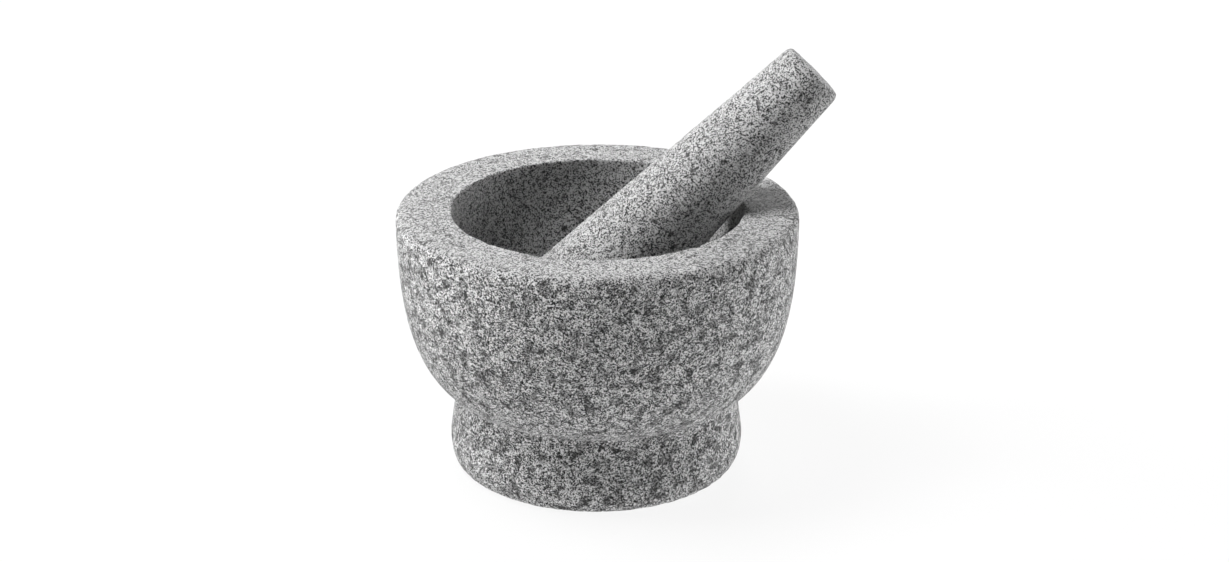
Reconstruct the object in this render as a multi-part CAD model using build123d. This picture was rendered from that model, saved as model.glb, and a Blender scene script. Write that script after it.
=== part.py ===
from build123d import *
import math
import os

# A turned granite mortar on a ring foot, and the loose pestle that leans in it.
# Millimetres, +Z up. The origin is the centre of the mortar's flat underside.

# Mortar: the bowl
height = 107.7
rim_diameter = 160.0
opening_diameter = 115.4
bowl_depth = 71.6
rim_outer_round = 3.6
rim_inner_round = 0.9

# Mortar: the crease where the belly curves in to meet the foot
crease_diameter = 112.4
crease_height = 31.4
crease_round = 4.0
belly_angle = 28.7  # degrees above level, where the belly leaves the crease
belly_pull = 21.3  # how far the belly keeps to that angle
side_pull = 36.8  # how far the bowl's side keeps plumb below the rim

# Mortar: the ring foot
foot_top_diameter = 115.0
foot_top_height = 25.5
foot_diameter = 118.6
foot_widest_height = 12.8
base_diameter = 106.4

# Pestle
pestle_length = 162.0
ball_diameter = 46.8
pestle_half_angle = 4.01  # degrees, a taper that thins towards the flat end
end_round_width = 2.0  # the worn edge of the flat end, across the pestle
end_round_length = 3.6  # the same edge, along the pestle

# How the pestle leans: its axis passes over the middle of the bowl at this height
lean_height = 75.8
lean_elevation = 44.35  # degrees above level
lean_azimuth = 8.0  # degrees from +X towards +Y
ball_below_crossing = 18.0  # from that point down to the centre of the ball end

rim_radius = rim_diameter / 2
opening_radius = opening_diameter / 2


def foot_outline():
    """The underside, the rounded lower edge and the foot's side, up to the crease."""
    base = (base_diameter / 2, 0)
    widest = (foot_diameter / 2, foot_widest_height)
    shoulder = (foot_top_diameter / 2, foot_top_height)
    crease = (crease_diameter / 2, crease_height)
    lower_corner = (foot_diameter / 2, 0)
    shoulder_corner = (foot_top_diameter / 2, (foot_top_height + crease_height) / 2)
    return [
        Line((0, 0), base),
        Bezier(base, lower_corner, widest),
        Line(widest, shoulder),
        Bezier(shoulder, shoulder_corner, crease),
    ]


def belly_outline():
    """One smooth sweep from the crease out to the rim's outer edge."""
    crease = Vector(crease_diameter / 2, crease_height)
    rim = Vector(rim_radius, height - rim_outer_round)
    angle = math.radians(belly_angle)
    out_of_crease = crease + Vector(math.cos(angle), math.sin(angle)) * belly_pull
    below_rim = rim - Vector(0, side_pull)
    return [Bezier(crease, out_of_crease, below_rim, rim)]


def rim_outline():
    """The flat rim between its two rounded edges."""
    outer = CenterArc((rim_radius - rim_outer_round, height - rim_outer_round), rim_outer_round, 0, 90)
    inner = CenterArc((opening_radius + rim_inner_round, height - rim_inner_round), rim_inner_round, 90, 90)
    return [outer, Line(outer @ 1, inner @ 0), inner]


def hollow_outline():
    """The hollow: a quarter ellipse from the opening down to the middle of the floor."""
    opening = (opening_radius, height - rim_inner_round)
    corner = (opening_radius, height - bowl_depth)
    floor = (0, height - bowl_depth)
    quarter = Bezier(opening, corner, floor, weights=[1, math.sqrt(0.5), 1])
    return [quarter, Line(floor, (0, 0))]


def make_mortar():
    outline = foot_outline() + belly_outline() + rim_outline() + hollow_outline()
    turned = revolve(Plane.XZ * make_face(Curve() + outline), Axis.Z)
    crease = turned.edges().filter_by_position(Axis.Z, crease_height - 0.1, crease_height + 0.1)
    return fillet(crease, crease_round)


def make_pestle():
    """The pestle upright on its ball end, with the ball's centre at the origin."""
    ball_radius = ball_diameter / 2
    taper = math.radians(pestle_half_angle)
    end_height = pestle_length - ball_radius
    tangent = Vector(ball_radius * math.cos(taper), ball_radius * math.sin(taper))
    end_radius = tangent.X - (end_height - tangent.Y) * math.tan(taper)
    end_corner = Vector(end_radius, end_height)
    side_top = end_corner + Vector(math.tan(taper), -1) * end_round_length
    end_edge = end_corner - Vector(end_round_width, 0)
    section = Curve() + [
        CenterArc((0, 0), ball_radius, -90, 90 + pestle_half_angle),
        Line(tangent, side_top),
        Bezier(side_top, end_corner, end_edge, weights=[1, math.sqrt(0.5), 1]),
        Line(end_edge, (0, end_height)),
        Line((0, end_height), (0, -ball_radius)),
    ]
    return revolve(Plane.XZ * make_face(section), Axis.Z)


def lean(pestle):
    """Sets the pestle down on the bowl's floor and against the rim."""
    elevation = math.radians(lean_elevation)
    azimuth = math.radians(lean_azimuth)
    level = math.cos(elevation)
    along = Vector(level * math.cos(azimuth), level * math.sin(azimuth), math.sin(elevation))
    ball_centre = Vector(0, 0, lean_height) - along * ball_below_crossing
    return Plane(ball_centre, z_dir=along) * pestle


mortar = make_mortar()
pestle = lean(make_pestle())
print(f"gap between the two stones: {mortar.distance_to(pestle):.3f} mm")

os.makedirs("parts", exist_ok=True)
export_step(mortar, "parts/mortar.step")
export_step(pestle, "parts/pestle.step")
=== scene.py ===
import math

import bmesh
import bpy
import numpy as np
from mathutils import Matrix, Vector, noise


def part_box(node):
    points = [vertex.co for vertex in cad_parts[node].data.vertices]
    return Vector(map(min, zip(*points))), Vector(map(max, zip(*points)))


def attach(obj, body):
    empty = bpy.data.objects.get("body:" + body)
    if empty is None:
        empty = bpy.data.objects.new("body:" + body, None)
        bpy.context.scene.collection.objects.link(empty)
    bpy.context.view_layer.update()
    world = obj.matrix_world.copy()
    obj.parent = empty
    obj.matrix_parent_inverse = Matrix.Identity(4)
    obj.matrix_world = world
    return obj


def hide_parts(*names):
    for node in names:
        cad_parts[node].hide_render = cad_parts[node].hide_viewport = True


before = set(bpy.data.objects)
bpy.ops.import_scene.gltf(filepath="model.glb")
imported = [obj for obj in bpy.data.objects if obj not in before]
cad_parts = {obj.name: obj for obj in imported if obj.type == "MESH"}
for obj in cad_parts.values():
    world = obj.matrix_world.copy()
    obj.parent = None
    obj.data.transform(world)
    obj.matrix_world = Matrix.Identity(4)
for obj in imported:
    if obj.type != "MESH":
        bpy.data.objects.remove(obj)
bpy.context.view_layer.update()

# A granite mortar and its loose pestle, in metres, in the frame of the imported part.
# The stone follows the CAD's outline, with a curve close to the CAD's fillet at the crease, and is carved in
# from there. Only the foot leaves that outline: it sits FOOT_OFFSET to the left of the bowl's axis.

MM = 0.001

mortar_low, mortar_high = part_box("mortar")
RIM_RADIUS = (mortar_high.x - mortar_low.x) / 2
HEIGHT = mortar_high.z

# Mortar outline
OPENING_RADIUS = 57.7 * MM
BOWL_DEPTH = 71.6 * MM
RIM_OUTER_ROUND = 3.6 * MM
RIM_INNER_ROUND = 0.9 * MM
CREASE = Vector((56.2, 31.4)) * MM
CREASE_REACH = 4.2 * MM  # how far the crease's rounding reaches to each side
BELLY_ANGLE = math.radians(28.7)
BELLY_PULL = 21.3 * MM
SIDE_PULL = 36.8 * MM
FOOT_TOP = Vector((57.5, 25.5)) * MM
FOOT_WIDEST = Vector((59.3, 12.8)) * MM
BASE_RADIUS = 53.2 * MM
FOOT_OFFSET = 0.7 * MM  # the foot was ground this far to the left of the bowl's axis

# Pestle outline and how it leans
PESTLE_LENGTH = 162.0 * MM
BALL_RADIUS = 23.4 * MM
PESTLE_TAPER = math.radians(4.01)
END_ROUND_WIDTH = 2.0 * MM
END_ROUND_LENGTH = 3.6 * MM
LEAN_HEIGHT = 75.8 * MM
LEAN_ELEVATION = math.radians(44.35)
LEAN_AZIMUTH = math.radians(8.0)
BALL_BELOW_CROSSING = 18.0 * MM


# Outlines: (radius, height) points, close together, from the middle of one end to the middle of the other

def bezier(*controls, steps=60):
    """Points on a Bezier curve of any degree."""
    t = np.linspace(0, 1, steps)[:, None]
    degree = len(controls) - 1
    points = np.zeros((steps, 2))
    for i, control in enumerate(controls):
        points += math.comb(degree, i) * t**i * (1 - t) ** (degree - i) * np.array(control)
    return points


def arc(centre, radii, start, end, steps=60):
    """Points on part of a circle or ellipse.

    Angles are in degrees from the outward direction, turning upwards.
    """
    angle = np.radians(np.linspace(start, end, steps))
    return np.array(centre) + np.column_stack([np.cos(angle), np.sin(angle)]) * np.array(radii)


def softened(outline, corner, reach):
    """The outline with its part within reach of a sharp corner swapped for one smooth curve."""
    near = np.flatnonzero(np.hypot(*(outline - corner).T) < reach)
    curve = bezier(outline[near[0]], corner, outline[near[-1]])
    return np.vstack([outline[:near[0]], curve, outline[near[-1] + 1:]])


def mortar_outline():
    base = (BASE_RADIUS, 0)
    out_of_crease = CREASE + Vector((math.cos(BELLY_ANGLE), math.sin(BELLY_ANGLE))) * BELLY_PULL
    side_top = (RIM_RADIUS, HEIGHT - RIM_OUTER_ROUND)
    outer_centre = (RIM_RADIUS - RIM_OUTER_ROUND, HEIGHT - RIM_OUTER_ROUND)
    inner_centre = (OPENING_RADIUS + RIM_INNER_ROUND, HEIGHT - RIM_INNER_ROUND)
    bowl_centre = (0, HEIGHT - RIM_INNER_ROUND)
    bowl_radii = (OPENING_RADIUS, BOWL_DEPTH - RIM_INNER_ROUND)
    outline = np.vstack([
        bezier((0, 0), base),
        bezier(base, (FOOT_WIDEST.x, 0), FOOT_WIDEST),
        bezier(FOOT_WIDEST, FOOT_TOP),
        bezier(FOOT_TOP, (FOOT_TOP.x, (FOOT_TOP.y + CREASE.y) / 2), CREASE),
        bezier(CREASE, out_of_crease, (RIM_RADIUS, side_top[1] - SIDE_PULL), side_top),
        arc(outer_centre, (RIM_OUTER_ROUND, RIM_OUTER_ROUND), 0, 90),
        arc(inner_centre, (RIM_INNER_ROUND, RIM_INNER_ROUND), 90, 180),
        arc(bowl_centre, bowl_radii, 0, -90, steps=200),
    ])
    return softened(outline, np.array(CREASE), CREASE_REACH)


def pestle_outline():
    """From the tip of the ball end up to the flat end, with the ball's centre at height 0."""
    end_height = PESTLE_LENGTH - BALL_RADIUS
    tangent = Vector((math.cos(PESTLE_TAPER), math.sin(PESTLE_TAPER))) * BALL_RADIUS
    slope = math.tan(PESTLE_TAPER)
    end_radius = tangent.x - (end_height - tangent.y) * slope
    round_centre = (end_radius - END_ROUND_WIDTH, end_height - END_ROUND_LENGTH)
    round_radii = (END_ROUND_WIDTH + END_ROUND_LENGTH * slope, END_ROUND_LENGTH)
    return np.vstack([
        arc((0, 0), (BALL_RADIUS, BALL_RADIUS), -90, math.degrees(PESTLE_TAPER), steps=200),
        arc(round_centre, round_radii, 0, 90),
        bezier((end_radius - END_ROUND_WIDTH, end_height), (0, end_height)),
    ])


# Meshes turned from an outline and made only of quads: a square grid on each end, and rows between them

def measured(outline, curve_weight):
    """The outline's points, each with a measure from 0 to 1 of how far along it lies.

    The measure runs faster where the outline bends, so rounded edges get more rows.
    """
    steps = np.diff(outline, axis=0)
    length = np.hypot(*steps.T)
    kept = length > 1e-9
    steps = steps[kept]
    length = length[kept]
    turn = np.unwrap(np.arctan2(steps[:, 1], steps[:, 0]))
    bend = abs(np.diff(turn, append=turn[-1]))
    measure = np.concatenate([[0], np.cumsum(length + curve_weight * bend)])
    points = np.vstack([outline[0], outline[0] + np.cumsum(steps, axis=0)])
    return points, measure / measure[-1]


def end_grid(n):
    """An n by n grid on a disc, as each point's share of the way out and its angle."""
    u, v = np.meshgrid(np.linspace(-1, 1, n + 1), np.linspace(-1, 1, n + 1))
    out = np.maximum(abs(u), abs(v))
    sideways = abs(u) >= abs(v)
    longer = np.where(sideways, u, v)
    shorter = np.where(sideways, v, u)
    ratio = np.divide(shorter, longer, out=np.zeros_like(u), where=longer != 0)
    angle = np.where(sideways, np.pi / 4 * ratio, np.pi / 2 - np.pi / 4 * ratio)
    return out, angle + np.pi * (longer < 0)


def side_grid(around, rows):
    """Rows of points between the two end grids, as each point's share of the way along and its angle."""
    angles = np.arange(around + 1) * 2 * np.pi / around + np.pi / 4
    angle, along = np.meshgrid(angles, np.linspace(0, 1, rows + 1))
    return along, angle


def grid_faces(shape, first):
    """The quads of a grid whose points are numbered row by row from first."""
    index = first + np.arange(shape[0] * shape[1]).reshape(shape)
    return np.stack([index[:-1, :-1], index[:-1, 1:], index[1:, 1:], index[1:, :-1]], axis=-1).reshape(-1, 4)


def turned_mesh(name, outline, around, rows, first_share, last_share, curve_weight=3 * MM):
    """The outline turned about Z.

    first_share and last_share are the parts of it that the two end grids cover.
    """
    points, measure = measured(outline, curve_weight)
    out, end_angle = end_grid(around // 4)
    along, side_angle = side_grid(around, rows)
    patches = [
        (out * first_share, end_angle),
        (first_share + along * (1 - first_share - last_share), side_angle),
        (1 - out * last_share, end_angle),
    ]
    vertices = []
    faces = []
    count = 0
    for at, angle in patches:
        radius = np.interp(at, measure, points[:, 0])
        height = np.interp(at, measure, points[:, 1])
        places = [radius * np.cos(angle), radius * np.sin(angle), height]
        vertices.append(np.stack(places, axis=-1).reshape(-1, 3))
        faces.append(grid_faces(at.shape, count))
        count += at.size
    mesh = bpy.data.meshes.new(name)
    mesh.from_pydata(np.vstack(vertices).tolist(), [], np.vstack(faces).tolist())
    weld(mesh)
    return mesh


def weld(mesh):
    """Joins the grids where they meet, and turns every face outwards."""
    work = bmesh.new()
    work.from_mesh(mesh)
    bmesh.ops.remove_doubles(work, verts=work.verts, dist=0.001 * MM)
    bmesh.ops.recalc_face_normals(work, faces=work.faces)
    work.to_mesh(mesh)
    work.free()
    mesh.polygons.foreach_set("use_smooth", np.ones(len(mesh.polygons), bool))


def table_of(items, field):
    """One row of three numbers for each vertex, from a mesh's vertices or its vertex normals."""
    table = np.empty(len(items) * 3, np.float32)
    items.foreach_get(field, table)
    return table.reshape(-1, 3).astype(float)


def carve(mesh, depth_at):
    """Sinks each vertex below the surface by depth_at(its place). Both are in millimetres."""
    places = table_of(mesh.vertices, "co")
    normals = table_of(mesh.vertex_normals, "vector")
    depths = np.array([depth_at(Vector(place)) for place in places / MM])
    places -= normals * np.maximum(depths, 0)[:, None] * MM
    mesh.vertices.foreach_set("co", places.astype(np.float32).ravel())
    mesh.update()


# How the stone's surface differs from the turned shape. Places, sizes and depths are in millimetres.
# Each piece has its own noise offset, so that the two don't share their bumps.

MORTAR_NOISE = Vector((3.1, 7.7, 1.9))
PESTLE_NOISE = Vector((11.3, 2.9, 5.3))

HAND_WORK_DEPTH = 0.13  # the average, which the broad and patchy waves vary about
BROAD_SIZE = 55
BROAD_DEPTH = 0.10
PATCHY_SIZE = 14
PATCHY_DEPTH = 0.05
GRAIN_SIZE = 1.9
GRAIN_DEPTH = 0.05
PIT_SPACING = 9
PITLESS_SHARE = 0.55  # of the places where a pit could be
PIT_DEPTH = 0.32
NIBBLE_SIZE = 5
FINE_NIBBLE_SIZE = 2.2
NIBBLE_DEPTH = 0.55

# Where edges are nibbled, as (radius, height, reach) rings
MORTAR_EDGES = [
    (RIM_RADIUS / MM, HEIGHT / MM, 5.0),
    (OPENING_RADIUS / MM, HEIGHT / MM, 4.5),
    (BASE_RADIUS / MM + 2, 2.0, 6.0),
]
PESTLE_EDGES = [(13.7, (PESTLE_LENGTH - BALL_RADIUS) / MM, 4.5)]

RIM_WEAR_START = 3  # how far below the top the rim's wear starts
RIM_WEAR_FADE = 2.5  # the height over which it grows to full
BOWL_WEAR_MARGIN = 1
SHAFT_WEAR = 0.85


def hand_work(place, offset):
    """The long, shallow unevenness of grinding by hand."""
    broad = noise.noise(place / BROAD_SIZE + offset)
    patchy = noise.noise(place / PATCHY_SIZE + offset * 2)
    return HAND_WORK_DEPTH + BROAD_DEPTH * broad + PATCHY_DEPTH * patchy


def grain_relief(place, offset):
    """Grains that stand a little proud or lie a little low."""
    return GRAIN_DEPTH * noise.noise(place / GRAIN_SIZE + offset * 3)


def pits(place, offset):
    """Small dents where a soft grain has come out."""
    distances, centres = noise.voronoi(place / PIT_SPACING + offset)
    if noise.cell(centres[0] * 7.3) < PITLESS_SHARE:
        return 0
    size = 0.09 + 0.08 * noise.cell(centres[0] * 3.1)  # as a share of the spacing
    inside = max(0, 1 - (distances[0] / size) ** 2)
    return PIT_DEPTH * inside


def edge_wear(place, offset, ring_radius, ring_height, reach):
    """Nibbles along a rounded edge, which is a ring of this radius at this height."""
    away = math.hypot(math.hypot(place.x, place.y) - ring_radius, place.z - ring_height)
    if away > reach:
        return 0
    coarse = max(0, noise.noise(place / NIBBLE_SIZE + offset) + 0.1)
    fine = max(0, noise.noise(place / FINE_NIBBLE_SIZE + offset))
    return NIBBLE_DEPTH * (coarse + 0.5 * fine) * (1 - away / reach)


def carved_depth(place, offset, edges):
    depth = hand_work(place, offset) + grain_relief(place, offset) + pits(place, offset)
    return depth + sum(edge_wear(place, offset, *edge) for edge in edges)


def mortar_depth(place):
    return carved_depth(place, MORTAR_NOISE, MORTAR_EDGES)


def pestle_depth(place):
    return carved_depth(place, PESTLE_NOISE, PESTLE_EDGES)


def shift_foot(mesh):
    """Moves the foot off the bowl's axis, with the whole move made across the crease."""
    places = table_of(mesh.vertices, "co")
    share = np.clip((CREASE.y + CREASE_REACH - places[:, 2]) / (2 * CREASE_REACH), 0, 1)
    places[:, 0] -= FOOT_OFFSET * share
    mesh.vertices.foreach_set("co", places.astype(np.float32).ravel())


def mark_worn(mesh, worn_at):
    """Notes how far each vertex is rubbed smooth, from 0 to 1, for the stone's material."""
    worn = mesh.attributes.new("worn", "FLOAT", "POINT")
    places = table_of(mesh.vertices, "co") / MM
    worn.data.foreach_set("value", [worn_at(Vector(place)) for place in places])


def mortar_worn(place):
    """The rim and the inside of the bowl are rubbed smooth, and the outside isn't."""
    radius = math.hypot(place.x, place.y)
    within_bowl = radius < OPENING_RADIUS / MM + BOWL_WEAR_MARGIN
    above_foot = place.z > CREASE.y / MM + BOWL_WEAR_MARGIN
    if within_bowl and above_foot:
        return 1.0
    return min(1, max(0, (place.z - HEIGHT / MM + RIM_WEAR_START) / RIM_WEAR_FADE))


def pestle_worn(place):
    """The edge of the flat end and the ball end are rubbed smooth, and the shaft a little less so."""
    end_edge = (PESTLE_LENGTH - BALL_RADIUS - END_ROUND_LENGTH) / MM
    if place.z > end_edge or place.z < 0:
        return 1.0
    return SHAFT_WEAR


# Materials. Grain sizes are in millimetres. A level runs from dark to pale, and a power of it is the tone.

LARGE_GRAIN = 2.4
MIDDLE_GRAIN = 0.7
SMALL_GRAIN = 0.38
BROAD_PATCH = 5.0
SPECKLE_PATCH = 4.0
MICA_CLUSTER = 6.5
MICA_FLAKE = 1.5
THREADED_CRYSTAL = 1.3

STONE_LEVEL = 0.375
THREAD_LIFT = 0.07
WORN_LIFT = 0.105
MICA_DROP = 0.3
PALEST = 0.92
WORN_PALEST_DROP = 0.12  # the palest flecks are rubbed duller on worn stone
DARKEST = 0.27
TONE_POWER = 3.0

STONE_ROUGHNESS = 0.86
MICA_ROUGHNESS = 0.62
BUMP_HEIGHT = 0.10 * MM


def add(tree, kind, inputs=None, **settings):
    """Adds a node. Each input is a plain value or another node's output."""
    made = tree.nodes.new(kind)
    for name, value in settings.items():
        setattr(made, name, value)
    for name, value in (inputs or {}).items():
        if isinstance(value, bpy.types.NodeSocket):
            tree.links.new(value, made.inputs[name])
        else:
            made.inputs[name].default_value = value
    return made


def maths(tree, operation, *values):
    return add(tree, "ShaderNodeMath", dict(enumerate(values)), operation=operation).outputs[0]


def remap(tree, value, low, high, to_low=0.0, to_high=1.0):
    """value from low..high to to_low..to_high, held at its ends, with a soft start and stop."""
    inputs = {"Value": value, "From Min": low, "From Max": high, "To Min": to_low, "To Max": to_high}
    return add(tree, "ShaderNodeMapRange", inputs, interpolation_type="SMOOTHSTEP").outputs["Result"]


def noise_at(tree, place, size, detail=2.0):
    """Noise of about this grain size in millimetres, from 0 to 1."""
    return add(tree, "ShaderNodeTexNoise", {"Vector": place, "Scale": 1 / size, "Detail": detail})


def cells_at(tree, place, size, feature="F1"):
    """Crystal-like cells of this size in millimetres."""
    return add(tree, "ShaderNodeTexVoronoi", {"Vector": place, "Scale": 1 / size}, feature=feature)


def random_of(tree, cells):
    """One random value from 0 to 1 for each cell."""
    return add(tree, "ShaderNodeSeparateColor", {"Color": cells.outputs["Color"]}).outputs[0]


def warped(tree, place, size, amount):
    """The place pushed about by noise, so that grains get ragged outlines."""
    push = noise_at(tree, place, size).outputs["Color"]
    halves = {0: push, 1: (0.5, 0.5, 0.5)}
    centred = add(tree, "ShaderNodeVectorMath", halves, operation="SUBTRACT").outputs[0]
    inputs = {0: centred, 1: (amount,) * 3, 2: place}
    return add(tree, "ShaderNodeVectorMath", inputs, operation="MULTIPLY_ADD").outputs[0]


def blended(tree, middle, *terms):
    """A weighted sum that varies about middle. Each term is a value from 0 to 1 and its weight."""
    total = middle - sum(weight for value, weight in terms) / 2
    for value, weight in terms:
        total = maths(tree, "MULTIPLY_ADD", value, weight, total)
    return total


def stone_place(tree, offset):
    """The place in the stone, in millimetres. Another offset is another block of the same stone."""
    inputs = {0: add(tree, "ShaderNodeTexCoord").outputs["Object"], 1: (1 / MM,) * 3, 2: offset}
    return add(tree, "ShaderNodeVectorMath", inputs, operation="MULTIPLY_ADD").outputs[0]


def base_level(tree, place, ragged):
    """Large grains of feldspar and quartz, with broad paler and darker patches."""
    large = random_of(tree, cells_at(tree, ragged, LARGE_GRAIN))
    broad = noise_at(tree, place, BROAD_PATCH, detail=1.0).outputs["Fac"]
    return blended(tree, STONE_LEVEL, (large, 0.1), (broad, 0.17))


def speckle_strength(tree, place):
    """How strongly the fine grains show, which varies from place to place."""
    patches = noise_at(tree, place, SPECKLE_PATCH, detail=1.0).outputs["Fac"]
    return remap(tree, patches, 0.36, 0.6, 0.5, 1.1)


def mica_flakes(tree, place, ragged):
    """1 in the dark mica flakes, which gather in clusters, and 0 outside them."""
    clusters = noise_at(tree, place, MICA_CLUSTER).outputs["Fac"]
    flake = random_of(tree, cells_at(tree, ragged, MICA_FLAKE))
    return remap(tree, maths(tree, "ADD", clusters, flake), 0.5, 0.66, 1.0, 0.0)


def pale_threads(tree, finely_ragged):
    """1 along the thin borders between crystals, and 0 away from them."""
    cells = cells_at(tree, finely_ragged, THREADED_CRYSTAL, feature="DISTANCE_TO_EDGE")
    return remap(tree, cells.outputs["Distance"], 0.0, 0.16, 1.0, 0.0)


def stone_tone(tree, level, mica):
    """The level made paler where worn and darker in mica, held within its limits, as a tone."""
    worn = add(tree, "ShaderNodeAttribute", attribute_name="worn").outputs["Fac"]
    level = maths(tree, "MULTIPLY_ADD", worn, WORN_LIFT, level)
    level = maths(tree, "MULTIPLY_ADD", mica, -MICA_DROP, level)
    palest = maths(tree, "MULTIPLY_ADD", worn, -WORN_PALEST_DROP, PALEST)
    level = maths(tree, "MAXIMUM", maths(tree, "MINIMUM", level, palest), DARKEST)
    return maths(tree, "POWER", level, TONE_POWER)


def granite(name, offset):
    """Unpolished grey granite: pale feldspar and grey quartz, with clusters of dark mica flakes."""
    material = bpy.data.materials.new(name)
    material.use_nodes = True
    tree = material.node_tree
    shader = tree.nodes["Principled BSDF"]
    place = stone_place(tree, offset)
    ragged = warped(tree, place, size=1.4, amount=2.0)
    finely_ragged = warped(tree, place, size=0.6, amount=0.8)

    middle = remap(tree, random_of(tree, cells_at(tree, finely_ragged, MIDDLE_GRAIN)), 0.05, 0.65)
    small = remap(tree, random_of(tree, cells_at(tree, finely_ragged, SMALL_GRAIN)), 0.1, 0.7)
    grain = blended(tree, 0.0, (middle, 0.42), (small, 1.15))
    mica = mica_flakes(tree, place, ragged)
    level = base_level(tree, place, ragged)
    level = maths(tree, "MULTIPLY_ADD", grain, speckle_strength(tree, place), level)
    level = maths(tree, "MULTIPLY_ADD", pale_threads(tree, finely_ragged), THREAD_LIFT, level)

    height = maths(tree, "MULTIPLY_ADD", mica, -0.5, maths(tree, "ADD", middle, small))
    bump = add(tree, "ShaderNodeBump", {"Height": height, "Strength": 0.22, "Distance": BUMP_HEIGHT})
    roughness = remap(tree, mica, 0.0, 1.0, STONE_ROUGHNESS, MICA_ROUGHNESS)
    tree.links.new(stone_tone(tree, level, mica), shader.inputs["Base Color"])
    tree.links.new(roughness, shader.inputs["Roughness"])
    tree.links.new(bump.outputs["Normal"], shader.inputs["Normal"])
    shader.inputs["Specular IOR Level"].default_value = 0.4
    return material


def stone_piece(name, mesh, material, body, node):
    piece = bpy.data.objects.new(name, mesh)
    bpy.context.scene.collection.objects.link(piece)
    mesh.materials.append(material)
    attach(piece, body)
    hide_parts(node)


def make_mortar():
    grid = {"around": 432, "rows": 176, "first_share": 0.16, "last_share": 0.17}
    mesh = turned_mesh("mortar_stone", mortar_outline(), **grid)
    mark_worn(mesh, mortar_worn)
    carve(mesh, mortar_depth)
    shift_foot(mesh)
    material = granite("granite_mortar", offset=(0, 0, 0))
    stone_piece("mortar_stone", mesh, material, "mortar", "mortar")


def lean_matrix():
    """Stands the pestle's own upright frame on the leaning axis, with the ball's centre where it rests."""
    level = math.cos(LEAN_ELEVATION)
    along = Vector((level * math.cos(LEAN_AZIMUTH), level * math.sin(LEAN_AZIMUTH), math.sin(LEAN_ELEVATION)))
    ball_centre = Vector((0, 0, LEAN_HEIGHT)) - along * BALL_BELOW_CROSSING
    return Matrix.Translation(ball_centre) @ along.to_track_quat("Z", "Y").to_matrix().to_4x4()


def make_pestle():
    grid = {"around": 240, "rows": 280, "first_share": 0.17, "last_share": 0.08}
    mesh = turned_mesh("pestle_stone", pestle_outline(), **grid)
    mark_worn(mesh, pestle_worn)
    carve(mesh, pestle_depth)
    mesh.transform(lean_matrix())
    material = granite("granite_pestle", offset=(140, 60, 20))
    stone_piece("pestle_stone", mesh, material, "pestle", "pestle")


# Studio

FLOOR_SIZE = 40
FLOOR_GREY = (0.06, 0.06, 0.06)
FLOOR_ROUGHNESS = 0.9
FLOOR_GLOW = 0.89
WHITE = (1, 1, 1, 1)
WORLD_GLOW = 0.02
SOFT_BOX_SIZE = 0.6
SOFT_BOX_DISTANCE = 1.3


def white_floor_material():
    """A dark floor that glows an even white, so that next to no shadow shows on it."""
    material = bpy.data.materials.new("floor_white")
    material.use_nodes = True
    shader = material.node_tree.nodes["Principled BSDF"]
    shader.inputs["Base Color"].default_value = (*FLOOR_GREY, 1)
    shader.inputs["Roughness"].default_value = FLOOR_ROUGHNESS
    shader.inputs["Emission Color"].default_value = WHITE
    shader.inputs["Emission Strength"].default_value = FLOOR_GLOW
    return material


def make_floor():
    bpy.ops.mesh.primitive_plane_add(size=FLOOR_SIZE)
    floor = bpy.context.object
    floor.name = "floor"
    floor.data.materials.append(white_floor_material())


def soft_light(name, azimuth, elevation, power):
    """A soft box that looks at the mortar, with its power in watts and its angles in degrees.

    Azimuth 0 is the camera's side and 90 is the camera's right.
    """
    turn = math.radians(azimuth)
    lift = math.radians(elevation)
    level = math.cos(lift)
    away = Vector((level * math.sin(turn), -level * math.cos(turn), math.sin(lift)))
    data = bpy.data.lights.new(name, "AREA")
    data.size = SOFT_BOX_SIZE
    data.energy = power
    light = bpy.data.objects.new(name, data)
    light.location = Vector((0, 0, HEIGHT / 2)) + away * SOFT_BOX_DISTANCE
    light.rotation_euler = away.to_track_quat("Z", "Y").to_euler()
    light.visible_camera = False
    bpy.context.scene.collection.objects.link(light)


def make_lights():
    soft_light("left_high", -85, 65, 19.8)
    soft_light("left", -90, 25, 9.7)
    soft_light("right_low", 90, 8, 3.4)
    soft_light("right_back_low", 120, 8, 8.7)
    soft_light("back", 180, 25, 7.4)
    world = bpy.data.worlds.new("studio")
    world.use_nodes = True
    background = world.node_tree.nodes["Background"]
    background.inputs["Color"].default_value = WHITE
    background.inputs["Strength"].default_value = WORLD_GLOW
    bpy.context.scene.world = world


CAMERA_TARGET = Vector((6.7, 0, 76.0)) * MM
CAMERA_DISTANCE = 1.12
CAMERA_ELEVATION = math.radians(21.53)
CAMERA_LENS = 81.96  # in millimetres, as is the sensor's width
SENSOR_WIDTH = 36


def make_camera():
    data = bpy.data.cameras.new("camera")
    data.lens = CAMERA_LENS
    data.sensor_width = SENSOR_WIDTH
    camera = bpy.data.objects.new("camera", data)
    away = Vector((0, -math.cos(CAMERA_ELEVATION), math.sin(CAMERA_ELEVATION)))
    camera.location = CAMERA_TARGET + away * CAMERA_DISTANCE
    camera.rotation_euler = (math.pi / 2 - CAMERA_ELEVATION, 0, 0)
    bpy.context.scene.collection.objects.link(camera)
    bpy.context.scene.camera = camera


make_camera()
make_mortar()
make_pestle()
make_floor()
make_lights()
bpy.context.scene.view_settings.view_transform = "Standard"
